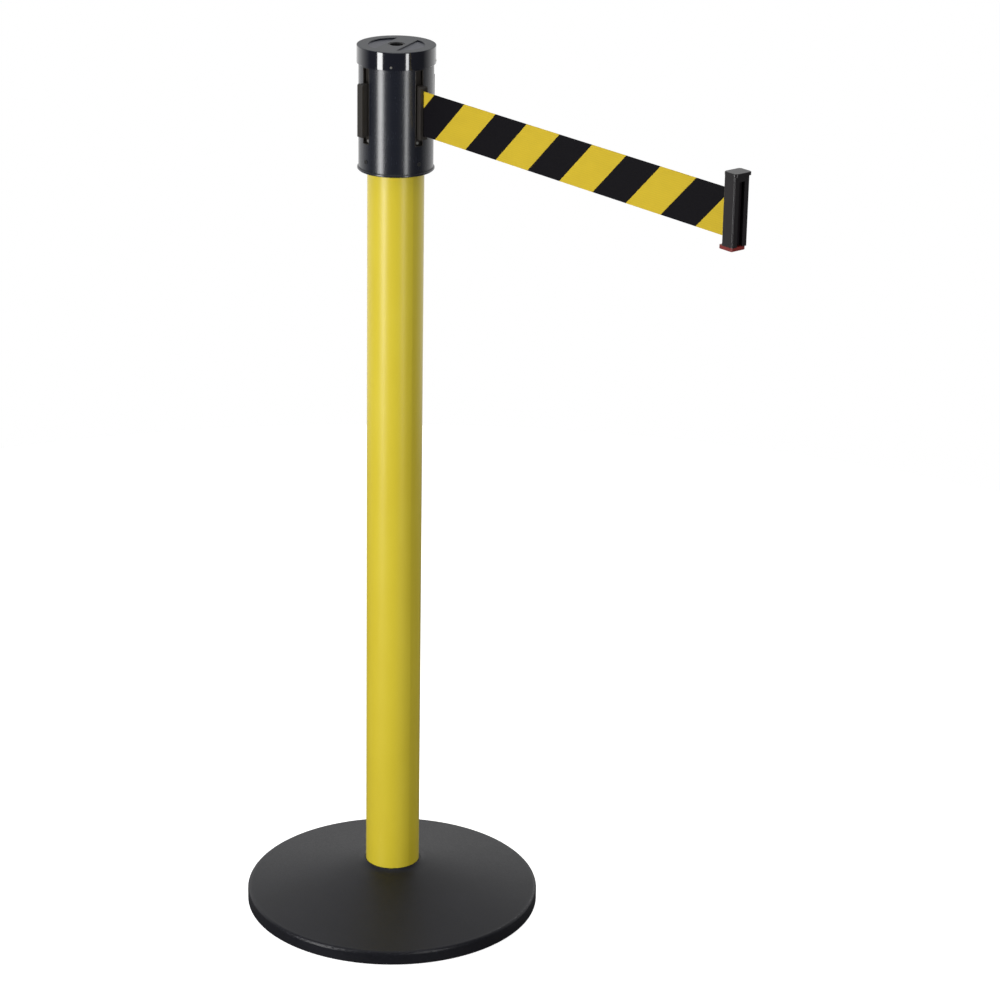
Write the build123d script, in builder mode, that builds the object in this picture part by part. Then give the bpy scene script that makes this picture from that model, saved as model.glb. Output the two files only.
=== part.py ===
"""Retractable-belt barrier post: weighted round base, tube, belt cassette head, webbing belt and belt-end clip.

Frame: +Z up, origin on the floor at the post's axis, +X the way the belt is pulled out. Millimetres.
"""

import math
import os

from build123d import *

os.makedirs("parts", exist_ok=True)

# ---- driving dimensions ----
post_r = 31.75  # 2.5 inch tube
post_wall = 1.6
base_r = 174.0
rim_top = 17.0  # height of the base's vertical rim
dome_top = 53.0  # where the dome meets the tube
head_r = 41.6
head_wall = 2.6
head_bottom = 906.5
cap_r = 43.8
cap_bottom = 1026.5
cap_top = 1046.4
belt_width = 49.5
belt_thick = 0.6
belt_bottom = 953.5
belt_out = 538.5  # where the belt enters the clip, as stored
lock_travel = 3.6

# ---- sizes worked out from them ----
post_inner_r = post_r - post_wall
head_inner_r = head_r - head_wall
belt_top = belt_bottom + belt_width
belt_mid = (belt_bottom + belt_top) / 2
slot_angles = {"front": 0, "right": 90, "rear": 180, "left": 270}
gap = 0.1  # room between pieces that fit into each other

# base
cover_wall = 3.0
weight_bottom = 4.0
weight_edge = 12.4
weight_r = 165.0
dish_inner_r = 42.0
dish_outer_r = 125.0
dish_top = 16.0
tube_foot = 38.0  # the tube stands on the weight's middle
seat_r = 71.0
bolt_r = 6.0
washer_r = 16.0
washer_top = 14.5
washer_thick = 2.5

# head levels
collar_top = 909.6
tube_end = 915.0
plug_flange_top = 918.0
deck_top = 922.0  # cassette base plate, standing on the plug's flange
top_plate_low = 1010.0
top_plate_high = 1013.0
top_plate_r = 35.2
housing_low = 908.3
housing_high = 1040.2
slot_low = 939.8
slot_high = 1025.2
slot_half = 5.5

# receiver rails: a T that stands out of each slot
rail_low = 949.0
rail_high = 1008.0
rail_face = 50.0
lip_back = 47.2
stem_half = 3.0
rail_half = 4.6
rail_back = 35.5
rail_flange = 37.8
rail_flange_half = 8.0
rail_screw_z = 943.1

# spool and its spring
spindle_r = 4.0
drum_r = 10.0
spool_bore_r = 5.5
flange_r = 26.0
flange_thick = 2.4
roll_r = 20.4
case_r = 27.0
case_low = 926.0
case_wall = 1.5
pin_r = 2.0
pin_x = 33.0
pillar_circle_r = 31.5
pillar_r = 2.5

# clip
clip_depth = 15.2
clip_half = 10.0
clip_low = 947.2
clip_high = 1019.0
clip_front = belt_out + clip_depth


def save(part, name):
    """Labels a finished piece and writes it as one STEP file."""
    part.label = name
    export_step(part, f"parts/{name}.step")


def ring(inner_r, outer_r, low, high):
    """A plain ring or, with no inner radius, a disc."""
    with BuildPart() as piece:
        with BuildSketch(Plane.XY.offset(low)):
            Circle(outer_r)
            if inner_r:
                Circle(inner_r, mode=Mode.SUBTRACT)
        extrude(amount=high - low)
    return piece.part


def turned(points):
    """A solid of revolution about Z from an outline of (radius, height) points."""
    with BuildPart() as piece:
        with BuildSketch(Plane.XZ):
            with BuildLine():
                Polyline(*points, close=True)
            make_face()
        revolve(axis=Axis.Z)
    return piece.part


def radial_plane(angle, radius, height):
    """A plane that faces outwards from the post's axis, its local y up."""
    turn = math.radians(angle)
    out = Vector(math.cos(turn), math.sin(turn), 0)
    side = Vector(-math.sin(turn), math.cos(turn), 0)
    return Plane(origin=out * radius + Vector(0, 0, height), x_dir=side, z_dir=out)


# ---- base ----

# Rubber ring that the whole post stands on.
with BuildPart() as floor_ring:
    with BuildSketch():
        Circle(170.6)
        Circle(144.0, mode=Mode.SUBTRACT)
    extrude(amount=weight_bottom - 0.05)
    fillet(floor_ring.edges().filter_by(GeomType.CIRCLE).group_by(Axis.Z)[0], 0.8)
save(floor_ring.part, "floor_ring")

# Cast weight under the cover: conical on top, dished beneath, bored and counterbored for the bolt.
with BuildPart() as base_weight:
    with BuildSketch(Plane.XZ):
        with BuildLine():
            Polyline(
                (bolt_r + 0.5, washer_top), (washer_r + 1, washer_top), (washer_r + 1, weight_bottom),
                (dish_inner_r, weight_bottom), (dish_inner_r + 5, dish_top), (dish_outer_r - 5, dish_top),
                (dish_outer_r, weight_bottom), (weight_r, weight_bottom), (weight_r, weight_edge),
                (weight_r - 2, weight_edge + 2), (seat_r, tube_foot), (bolt_r + 0.5, tube_foot), close=True,
            )
        make_face()
    revolve(axis=Axis.Z)
save(base_weight.part, "base_weight")

# Domed cover: a vertical rim, a shallow dome and a short turned-up collar round the tube.
collar_r = post_r + 0.25
with BuildPart() as base_cover:
    with BuildSketch(Plane.XZ):
        with BuildLine():
            rim = Line((base_r, 1.6), (base_r, rim_top - 3.0))
            shoulder = RadiusArc(rim @ 1, (base_r - 3.6, rim_top + 1.2), -4.0)
            slope = Line(shoulder @ 1, (60.0, 44.6))
            sweep_up = Spline(
                slope @ 1, (44.0, 48.2), (collar_r + 1.2, dome_top), tangents=(slope % 1, (-0.6, 1)),
            )
            lip = Line(sweep_up @ 1, (collar_r, dome_top))
            bore = Line(lip @ 1, (collar_r, dome_top - 6.5))
            under = Polyline(
                bore @ 1, (46.0, 45.0), (60.0, 41.4), (base_r - 6.0, rim_top - 3.4),
                (base_r - cover_wall, rim_top - 5.5), (base_r - cover_wall, 1.6),
            )
            Line(under @ 1, rim @ 0)
        make_face()
    revolve(axis=Axis.Z)
save(base_cover.part, "base_cover")

# Hex bolt that pulls the tube down on the base, with its washer.
with BuildPart() as base_bolt:
    with BuildSketch(Plane.XY.offset(washer_top - washer_thick - 7.5)):
        RegularPolygon(9.5, 6, major_radius=False)
    extrude(amount=7.5)
    with BuildSketch(Plane.XY.offset(washer_top - washer_thick)):
        Circle(bolt_r)
    extrude(amount=58.0)
    chamfer(base_bolt.edges().filter_by(GeomType.CIRCLE).sort_by(Axis.Z)[-1], 1.0)
save(base_bolt.part, "base_bolt")
save(ring(bolt_r + 0.4, washer_r, washer_top - washer_thick, washer_top), "base_washer")

# ---- tube and its end plugs ----

with BuildPart() as post_tube:
    with BuildSketch(Plane.XY.offset(tube_foot)):
        Circle(post_r)
        Circle(post_inner_r, mode=Mode.SUBTRACT)
    extrude(amount=tube_end - tube_foot)
save(post_tube.part, "post_tube")

# Ribbed plug with the thread for the base bolt.
with BuildPart() as bottom_plug:
    with BuildSketch(Plane.XY.offset(tube_foot)):
        Circle(post_inner_r - gap)
        Circle(bolt_r + 0.05, mode=Mode.SUBTRACT)
    extrude(amount=38.0)
    with BuildSketch(Plane.XY.offset(tube_foot + 12.0)):
        with PolarLocations(18.0, 6):
            Circle(5.5)
    extrude(amount=30.0, mode=Mode.SUBTRACT)
save(bottom_plug.part, "bottom_plug")

# Plug with a flange that carries the head.
head_screw_circle_r = 20.0
head_screw_r = 2.0
with BuildPart() as top_plug:
    with BuildSketch(Plane.XY.offset(tube_end - 35.0)):
        Circle(post_inner_r - gap)
    extrude(amount=35.0)
    with BuildSketch(Plane.XY.offset(tube_end)):
        Circle(post_r)
    extrude(amount=plug_flange_top - tube_end)
    with BuildSketch(Plane.XY.offset(tube_end - 35.0)):
        Circle(14.0)
    extrude(amount=28.0, mode=Mode.SUBTRACT)
    with BuildSketch(Plane.XY.offset(plug_flange_top)):
        with PolarLocations(head_screw_circle_r, 3):
            Circle(head_screw_r + 0.05)
    extrude(amount=-18.0, mode=Mode.SUBTRACT)
save(top_plug.part, "top_plug")

# ---- head ----

# Ring that closes the housing's lower end round the tube.
save(
    turned([
        (post_r + 0.2, head_bottom + 1.0), (post_r + 1.2, head_bottom), (cap_r - 1.8, head_bottom),
        (cap_r - 0.8, head_bottom + 1.0), (cap_r - 0.8, collar_top - 0.6), (cap_r - 1.4, collar_top),
        (head_r + gap, collar_top), (head_r + gap, housing_low), (post_r + 0.2, housing_low),
    ]),
    "head_collar",
)

# Housing tube with four slots, four holes near its foot and four under the cap's skirt.
housing_screw_z = 919.9
cap_screw_z = 1030.0
with BuildPart() as head_housing:
    with BuildSketch(Plane.XY.offset(housing_low)):
        Circle(head_r)
        Circle(head_inner_r, mode=Mode.SUBTRACT)
    extrude(amount=housing_high - housing_low)
    for angle in slot_angles.values():
        with BuildSketch(radial_plane(angle, 0, 0)):
            with Locations((0, (slot_low + slot_high) / 2)):
                RectangleRounded(2 * slot_half, slot_high - slot_low, 1.2)
            with Locations((0, housing_screw_z)):
                Circle(1.6)
        extrude(amount=head_r + 5, mode=Mode.SUBTRACT)
        with BuildSketch(radial_plane(angle + 45, 0, 0)):
            with Locations((0, cap_screw_z)):
                Circle(1.35)
        extrude(amount=head_r + 5, mode=Mode.SUBTRACT)
save(head_housing.part, "head_housing")


def radial_screws(height, outer_r, head_radius, head_high, shank_r, length, first_angle):
    """Four cross-head screws pointing at the axis, their heads on the outer radius."""
    with BuildPart() as screws:
        for turn in range(4):
            plane = radial_plane(first_angle + 90 * turn, outer_r, height)
            with BuildSketch(plane):
                Circle(head_radius)
            extrude(amount=head_high)
            with BuildSketch(plane):
                Circle(shank_r)
            extrude(amount=-length)
            with BuildSketch(plane.offset(head_high)):
                Rectangle(head_radius * 1.2, 0.5)
                Rectangle(0.5, head_radius * 1.2)
            extrude(amount=-head_high * 0.6, mode=Mode.SUBTRACT)
    return screws.part


save(radial_screws(housing_screw_z, head_r + 0.02, 2.4, 0.6, 1.5, 10.0, 0), "housing_screws")
save(radial_screws(cap_screw_z, cap_r + 0.02, 1.3, 0.3, 1.2, 4.4, 45), "cap_screws")

# Cassette base plate, screwed to the plug and carrying everything inside the head.
with BuildPart() as cassette_base:
    with BuildSketch(Plane.XY.offset(plug_flange_top)):
        Circle(head_inner_r - 0.2)
        with PolarLocations(head_screw_circle_r, 3):
            Circle(head_screw_r + 0.3, mode=Mode.SUBTRACT)
        Circle(spindle_r + 0.05, mode=Mode.SUBTRACT)
    extrude(amount=deck_top - plug_flange_top)
    for turn in range(4):
        with BuildSketch(radial_plane(90 * turn, 0, 0)):
            with Locations((0, housing_screw_z)):
                Circle(1.55)
        extrude(amount=head_r, mode=Mode.SUBTRACT)
save(cassette_base.part, "cassette_base")

with BuildPart() as head_screws:
    for place in PolarLocations(head_screw_circle_r, 3):
        with Locations(place.position + Vector(0, 0, deck_top)):
            Cylinder(3.6, 2.2, align=(Align.CENTER, Align.CENTER, Align.MIN))
        with Locations(place.position + Vector(0, 0, deck_top + 0.1)):
            Cylinder(head_screw_r, 20.0, align=(Align.CENTER, Align.CENTER, Align.MAX))
save(head_screws.part, "head_screws")

with BuildPart() as cassette_pillars:
    with BuildSketch(Plane.XY.offset(deck_top)):
        with PolarLocations(pillar_circle_r, 4, start_angle=45):
            Circle(pillar_r)
    extrude(amount=top_plate_low - deck_top)
save(cassette_pillars.part, "cassette_pillars")

with BuildPart() as cassette_top:
    with BuildSketch(Plane.XY.offset(top_plate_low)):
        Circle(top_plate_r)
        Circle(spindle_r + 0.05, mode=Mode.SUBTRACT)
        with PolarLocations(pillar_circle_r, 4, start_angle=45):
            Circle(1.55, mode=Mode.SUBTRACT)
        with PolarLocations(18.0, 4, start_angle=0):
            Circle(6.0, mode=Mode.SUBTRACT)
    extrude(amount=top_plate_high - top_plate_low)
save(cassette_top.part, "cassette_top")

# Screws through the top plate; each one ends on its pillar.
with BuildPart() as pillar_screws:
    with BuildSketch(Plane.XY.offset(top_plate_low)):
        with PolarLocations(pillar_circle_r, 4, start_angle=45):
            Circle(1.5)
    extrude(amount=top_plate_high - top_plate_low)
    with BuildSketch(Plane.XY.offset(top_plate_high)):
        with PolarLocations(pillar_circle_r, 4, start_angle=45):
            Circle(2.8)
    extrude(amount=1.8)
save(pillar_screws.part, "pillar_screws")

# Steel pins that steer the belt from the roll to the exit slit.
pin_y = pin_r + 0.15 + belt_thick / 2
with BuildPart() as guide_pins:
    with BuildSketch(Plane.XY.offset(deck_top)):
        with Locations((pin_x, pin_y), (pin_x, -pin_y)):
            Circle(pin_r)
    extrude(amount=top_plate_low - deck_top)
save(guide_pins.part, "guide_pins")

# Spindle with a groove for its circlip, and the sleeve that holds the spring's inner end.
circlip_z = 1014.2
with BuildPart() as spindle:
    with BuildSketch(Plane.XY.offset(plug_flange_top)):
        Circle(spindle_r)
    extrude(amount=1019.0 - plug_flange_top)
    chamfer(spindle.edges().filter_by(GeomType.CIRCLE).sort_by(Axis.Z)[-1], 0.8)
    with BuildSketch(Plane.XY.offset(circlip_z)):
        Circle(spindle_r)
        Circle(spindle_r - 0.8, mode=Mode.SUBTRACT)
    extrude(amount=1.1, mode=Mode.SUBTRACT)
save(spindle.part, "spindle")

with BuildPart() as spindle_circlip:
    with BuildSketch(Plane.XY.offset(circlip_z + 0.05)):
        Circle(spindle_r + 2.4)
        Circle(spindle_r - 0.75, mode=Mode.SUBTRACT)
        with Locations((spindle_r, 0)):
            Rectangle(8.0, 4.0, mode=Mode.SUBTRACT)
    extrude(amount=1.0)
save(spindle_circlip.part, "spindle_circlip")
save(ring(spindle_r + 0.02, 6.4, deck_top + 0.05, 947.0), "spring_arbor")


# ---- receiver rails ----

def rail(angle, slit):
    """One T-shaped rail; the belt's own rail has a slit for the belt down its middle."""
    with BuildPart() as piece:
        with BuildSketch(Plane.XY.offset(deck_top)):
            with Locations(((rail_back + rail_flange) / 2, 0)):
                Rectangle(rail_flange - rail_back, 2 * rail_flange_half)
        extrude(amount=cap_bottom - deck_top)
        with BuildSketch(Plane.XY.offset(rail_low)):
            with Locations(((rail_back + lip_back) / 2 + 1, 0)):
                Rectangle(lip_back - rail_back, 2 * stem_half)
            with Locations(((lip_back + rail_face) / 2, 0)):
                Rectangle(rail_face - lip_back, 2 * rail_half)
        extrude(amount=rail_high - rail_low)
        with BuildSketch(radial_plane(0, rail_flange, rail_screw_z)):
            Circle(1.2)
        extrude(amount=-3.0, mode=Mode.SUBTRACT)
        lead_in = piece.edges().filter_by(Axis.Y).group_by(Axis.X)[-1].sort_by(Axis.Z)[-1]
        chamfer(lead_in, 1.2)
        if slit:
            with Locations(((rail_back + rail_face) / 2, 0, belt_mid)):
                Box(rail_face - rail_back + 4, 2.0, belt_width + 2.4, mode=Mode.SUBTRACT)
    return piece.part.rotate(Axis.Z, angle)


save(rail(slot_angles["front"], slit=True), "belt_exit_rail")
for side in ("right", "rear", "left"):
    save(rail(slot_angles[side], slit=False), f"receiver_rail_{side}")
save(radial_screws(rail_screw_z, rail_flange + 0.02, 1.6, 0.9, 1.1, 2.0, 0), "rail_screws")

# ---- cap ----

recess_r = 31.3
recess_floor = cap_top - 1.7
bar_half = 12.4
bar_angle = 118.5
socket_r = 7.5
socket_outer_r = 9.4
socket_bottom = 1022.6
with BuildPart() as cap:
    with BuildSketch(Plane.XY.offset(cap_bottom)):
        Circle(cap_r)
    extrude(amount=cap_top - cap_bottom)
    fillet(cap.edges().filter_by(GeomType.CIRCLE).sort_by(Axis.Z)[-1], 1.0)
    chamfer(cap.edges().filter_by(GeomType.CIRCLE).sort_by(Axis.Z)[0], 0.25)
    with BuildSketch(Plane.XY.offset(cap_bottom)):
        Circle(head_r + 0.15)
    extrude(amount=housing_high - cap_bottom, mode=Mode.SUBTRACT)
    with BuildSketch(Plane.XY.offset(recess_floor)):
        Circle(recess_r)
        with Locations(Location((0, 0), bar_angle)):
            Rectangle(2 * recess_r + 2, 2 * bar_half, mode=Mode.SUBTRACT)
    extrude(amount=cap_top - recess_floor, mode=Mode.SUBTRACT)
    top_edges = cap.edges().filter_by_position(Axis.Z, cap_top - 0.01, cap_top + 0.01)
    chamfer(top_edges.sort_by(SortBy.LENGTH)[:-1], 0.5)
    with BuildSketch(Plane.XY.offset(housing_high)):
        Circle(socket_outer_r + gap)
    extrude(amount=cap_top - housing_high, mode=Mode.SUBTRACT)
    for turn in range(4):
        with BuildSketch(radial_plane(45 + 90 * turn, 0, 0)):
            with Locations((0, cap_screw_z)):
                Circle(1.3)
        extrude(amount=cap_r + 2, mode=Mode.SUBTRACT)
save(cap.part, "cap")

# Closed-bottomed socket in the cap's bar that takes a sign frame's stem.
with BuildPart() as sign_socket:
    with BuildSketch(Plane.XY.offset(socket_bottom)):
        Circle(socket_outer_r)
    extrude(amount=cap_top - 0.4 - socket_bottom)
    with BuildSketch(Plane.XY.offset(housing_high - 2.0)):
        Circle(socket_outer_r + 2.0)
    extrude(amount=1.9)
    with BuildSketch(Plane.XY.offset(socket_bottom + 1.5)):
        Circle(socket_r)
    extrude(amount=cap_top - socket_bottom, mode=Mode.SUBTRACT)
save(sign_socket.part, "sign_socket")

# ---- spool, which turns on the spindle ----

spool_low = belt_bottom - 0.7 - flange_thick
spool_high = belt_top + 0.7 + flange_thick
with BuildPart() as spool:
    with BuildSketch(Plane.XY.offset(spool_low)):
        Circle(drum_r)
    extrude(amount=spool_high - spool_low)
    with BuildSketch(Plane.XY.offset(spool_low), Plane.XY.offset(spool_high - flange_thick)):
        Circle(flange_r)
        with PolarLocations(17.5, 5):
            Circle(3.2, mode=Mode.SUBTRACT)
    extrude(amount=flange_thick)
    with BuildSketch(Plane.XY.offset(spool_low)):
        Circle(spool_bore_r)
    extrude(amount=spool_high - spool_low, mode=Mode.SUBTRACT)
save(spool.part, "spool")

bush_length = 9.0
save(
    ring(spindle_r + 0.06, spool_bore_r - 0.02, spool_low + 0.1, spool_low + bush_length),
    "spool_bush_lower",
)
save(
    ring(spindle_r + 0.06, spool_bore_r - 0.02, spool_high - bush_length, spool_high - 0.1),
    "spool_bush_upper",
)

# Wound belt on the drum.
save(ring(drum_r + 0.02, roll_r, belt_bottom, belt_top), "belt_roll")

# Spring case hung under the spool, its lid and the spiral spring inside it.
case_high = spool_low - 0.02
with BuildPart() as spring_case:
    with BuildSketch(Plane.XY.offset(case_low)):
        Circle(case_r)
        Circle(case_r - case_wall, mode=Mode.SUBTRACT)
    extrude(amount=case_high - case_low)
    with BuildSketch(Plane.XY.offset(case_high - case_wall)):
        Circle(case_r)
        Circle(7.2, mode=Mode.SUBTRACT)
    extrude(amount=case_wall)
save(spring_case.part, "spring_case")
save(ring(7.2, case_r, case_low - 1.2, case_low - 0.02), "spring_case_lid")

spring_pitch = 2.4
spring_turns = 6
spring_start_r = 7.6
with BuildPart() as power_spring:
    with BuildSketch(Plane.XY.offset(case_low + 1.5)):
        with BuildLine():
            start = Vector(spring_start_r, 0)
            for half_turn in range(2 * spring_turns):
                radius = spring_start_r + spring_pitch / 4 * (2 * half_turn + 1) - spring_pitch / 4
                way = 1 if half_turn % 2 == 0 else -1
                end = Vector(start.X - way * 2 * radius, 0)
                crown = Vector((start.X + end.X) / 2, way * radius)
                ThreePointArc(start, crown, end)
                start = end
        trace(line_width=0.9)
    extrude(amount=19.0)
save(power_spring.part, "power_spring")

# ---- belt ----

# The belt runs straight out along +X, bends round the upper guide pin and lies on the roll.
half = belt_thick / 2
bend_r = pin_r + 0.15 + half
roll_line_r = roll_r + half + 0.05
pin_centre = Vector(pin_x, pin_y)
cross_angle = math.asin((bend_r + roll_line_r) / pin_centre.length)
heading = math.atan2(-pin_y, -pin_x) % (2 * math.pi) - cross_angle
along = Vector(math.cos(heading), math.sin(heading))
right_hand = Vector(along.Y, -along.X)
leaves_pin = pin_centre - right_hand * bend_r
meets_roll = right_hand * roll_line_r
bend_mid = pin_centre + Vector(0, -bend_r).rotate(Axis.Z, math.degrees(heading - math.pi) / 2)
loop_pin_r = 1.5
loop_x = belt_out + 6.0
loop_r = loop_pin_r + 0.15 + half
with BuildPart() as belt:
    with BuildSketch(Plane.XY.offset(belt_bottom)):
        with BuildLine():
            Polyline((loop_x - loop_r, 0), (pin_x, 0))
            ThreePointArc((pin_x, 0), bend_mid, leaves_pin)
            Line(leaves_pin, meets_roll)
        trace(line_width=belt_thick)
        with Locations((loop_x, 0)):
            Circle(loop_r + half)
            Circle(loop_r - half, mode=Mode.SUBTRACT)
    extrude(amount=belt_width)
save(belt.part, "belt")

# ---- belt-end clip ----

groove_mouth_half = stem_half + 0.5
groove_half = rail_half + 0.5
mouth_depth = 1.6
groove_depth = 3.1
groove_top = clip_low + 66.0
pocket_low = belt_bottom - 0.4
lock_x_low = belt_out + 0.8
lock_stem = 4.2
lock_slot_half = 2.3
lock_head_half = 3.9
lock_neck = 1.6
lock_head = 1.9
with BuildPart() as clip_body:
    with Locations((belt_out + clip_depth / 2, 0, (clip_low + clip_high) / 2)):
        Box(clip_depth, 2 * clip_half, clip_high - clip_low)
    fillet(clip_body.edges().filter_by(Axis.Z), 1.4)
    # Groove that slides down over a rail.
    with BuildSketch(Plane.XY.offset(clip_low)):
        with Locations((clip_front - mouth_depth / 2 + 0.5, 0)):
            Rectangle(mouth_depth + 1.0, 2 * groove_mouth_half)
        with Locations((clip_front - mouth_depth - groove_depth / 2, 0)):
            Rectangle(groove_depth, 2 * groove_half)
    extrude(amount=groove_top - clip_low, mode=Mode.SUBTRACT)
    # Pocket for the belt's looped end and its pin, open at the top.
    with BuildSketch(Plane.XY.offset(pocket_low)):
        with Locations(((belt_out + loop_x) / 2 - 0.5, 0)):
            Rectangle(loop_x - belt_out + 1.0, 1.6)
        with Locations((loop_x, 0)):
            Circle(loop_r + half + 0.2)
    extrude(amount=clip_high - pocket_low, mode=Mode.SUBTRACT)
    # Undercut track in the foot for the lock slider.
    track = lock_stem + lock_travel + 0.6
    with BuildSketch(Plane.XY.offset(clip_low)):
        with Locations((lock_x_low - 0.3 + track / 2, 0)):
            Rectangle(track, 2 * lock_slot_half)
    extrude(amount=lock_neck, mode=Mode.SUBTRACT)
    with BuildSketch(Plane.XY.offset(clip_low + lock_neck)):
        with Locations((lock_x_low - 0.3 + track / 2, 0)):
            Rectangle(track, 2 * lock_head_half)
    extrude(amount=lock_head, mode=Mode.SUBTRACT)
save(clip_body.part, "clip_body")

with BuildPart() as clip_cap:
    with Locations((belt_out + clip_depth / 2 + 1.0, 0, clip_high + 1.8)):
        Box(clip_depth + 3.0, 2 * clip_half + 2.4, 3.4)
    fillet(clip_cap.edges().filter_by(Axis.Z), 3.6)
    fillet(clip_cap.edges().group_by(Axis.Z)[-1], 0.7)
    with Locations((loop_x, 0, clip_high + 0.1)):
        Cylinder(loop_pin_r, 1.0, align=(Align.CENTER, Align.CENTER, Align.MAX))
save(clip_cap.part, "clip_cap")

with BuildPart() as belt_pin:
    with BuildSketch(Plane.XY.offset(pocket_low + 0.1)):
        with Locations((loop_x, 0)):
            Circle(loop_pin_r)
    extrude(amount=clip_high - 1.2 - pocket_low)
save(belt_pin.part, "belt_pin")

# Red lock plate: it stands under the rail that the clip has been dropped over, and slides back to free it.
plate_low = 943.0
plate_back = belt_out - 4.5
plate_front = clip_front - mouth_depth - groove_depth - 0.2 + lock_travel  # clear of the groove when open
plate_half = 9.3
with BuildPart() as lock_slider:
    with Locations(((plate_back + plate_front) / 2, 0, (plate_low + clip_low - gap) / 2)):
        Box(plate_front - plate_back, 2 * plate_half, clip_low - gap - plate_low)
    fillet(lock_slider.edges().filter_by(Axis.Z), 1.6)
    fillet(lock_slider.edges().group_by(Axis.Z)[0], 0.6)
    with BuildSketch(Plane.XY.offset(clip_low - 0.5)):
        with Locations((lock_x_low + lock_travel + lock_stem / 2, 0)):
            Rectangle(lock_stem, 2 * lock_slot_half - 0.3)
    extrude(amount=lock_neck + 0.8)
    with BuildSketch(Plane.XY.offset(clip_low + lock_neck + 0.15)):
        with Locations((lock_x_low + lock_travel + lock_stem / 2, 0)):
            Rectangle(lock_stem, 2 * lock_head_half - 0.4)
    extrude(amount=lock_head - 0.4)
save(lock_slider.part, "lock_slider")
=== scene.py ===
"""Looks of a retractable-belt barrier post: finishes, soft belt, fine trim, studio and camera.

Lengths are metres in the post's own frame: +Z up the post, +X the way the belt is pulled out.
"""

import logging
import math
from collections.abc import Callable, Sequence
from dataclasses import dataclass, field
from enum import Enum

import bpy
from mathutils import Matrix, Vector


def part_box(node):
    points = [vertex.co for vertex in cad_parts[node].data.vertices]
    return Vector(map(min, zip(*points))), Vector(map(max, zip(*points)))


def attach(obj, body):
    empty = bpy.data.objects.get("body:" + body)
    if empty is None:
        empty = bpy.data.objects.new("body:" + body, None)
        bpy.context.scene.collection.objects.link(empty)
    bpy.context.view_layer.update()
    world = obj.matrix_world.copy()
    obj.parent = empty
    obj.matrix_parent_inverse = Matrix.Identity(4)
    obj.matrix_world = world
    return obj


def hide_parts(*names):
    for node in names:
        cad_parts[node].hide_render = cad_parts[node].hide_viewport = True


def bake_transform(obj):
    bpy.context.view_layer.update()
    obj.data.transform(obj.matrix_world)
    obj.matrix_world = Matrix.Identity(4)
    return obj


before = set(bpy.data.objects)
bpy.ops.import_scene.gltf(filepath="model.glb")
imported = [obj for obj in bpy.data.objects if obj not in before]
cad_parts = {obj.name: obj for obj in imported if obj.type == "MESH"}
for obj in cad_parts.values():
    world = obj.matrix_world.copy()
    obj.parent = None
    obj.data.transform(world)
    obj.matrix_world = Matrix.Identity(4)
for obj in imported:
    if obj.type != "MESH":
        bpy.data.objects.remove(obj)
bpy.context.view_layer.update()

MM = 0.001
logging.basicConfig(level=logging.INFO, format="%(name)s: %(message)s")
log = logging.getLogger("barrier_post")

Colour = tuple[float, float, float, float]
Number = float | int


# ---------------------------------------------------------------------------
# Shader graphs
# ---------------------------------------------------------------------------


class Wire:
    """A node's output socket that takes part in Python arithmetic."""

    def __init__(self, graph: "Graph", socket: bpy.types.NodeSocket) -> None:
        """Keeps the graph and the socket.

        Args:
            graph: the graph that new nodes are added to.
            socket: the output socket this wire starts from.
        """
        self.graph = graph
        self.socket = socket

    def __add__(self, other: "Wire | Number") -> "Wire":
        """This value plus another."""
        return self.graph.maths("ADD", self, other)

    def __radd__(self, other: Number) -> "Wire":
        """A number plus this value."""
        return self.graph.maths("ADD", other, self)

    def __sub__(self, other: "Wire | Number") -> "Wire":
        """This value minus another."""
        return self.graph.maths("SUBTRACT", self, other)

    def __rsub__(self, other: Number) -> "Wire":
        """A number minus this value."""
        return self.graph.maths("SUBTRACT", other, self)

    def __mul__(self, other: "Wire | Number") -> "Wire":
        """This value times another."""
        return self.graph.maths("MULTIPLY", self, other)

    def __rmul__(self, other: Number) -> "Wire":
        """A number times this value."""
        return self.graph.maths("MULTIPLY", other, self)

    def __truediv__(self, other: "Wire | Number") -> "Wire":
        """This value divided by another."""
        return self.graph.maths("DIVIDE", self, other)

    def clamped(self) -> "Wire":
        """This value held between 0 and 1."""
        return self.graph.maths("MINIMUM", self.graph.maths("MAXIMUM", self, 0.0), 1.0)

    def sine(self) -> "Wire":
        """The sine of this value in radians."""
        return self.graph.maths("SINE", self)

    def fraction(self) -> "Wire":
        """The part of this value above its whole number."""
        return self.graph.maths("FRACT", self)

    def size(self) -> "Wire":
        """This value without its sign."""
        return self.graph.maths("ABSOLUTE", self)

    def above(self, limit: float, blur: float) -> "Wire":
        """A mask that rises from 0 to 1 around a limit.

        Args:
            limit: the value at the middle of the rise.
            blur: how wide the rise is.

        Returns:
            The mask, between 0 and 1.
        """
        return ((self - (limit - blur / 2)) * (1.0 / blur)).clamped()


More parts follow.
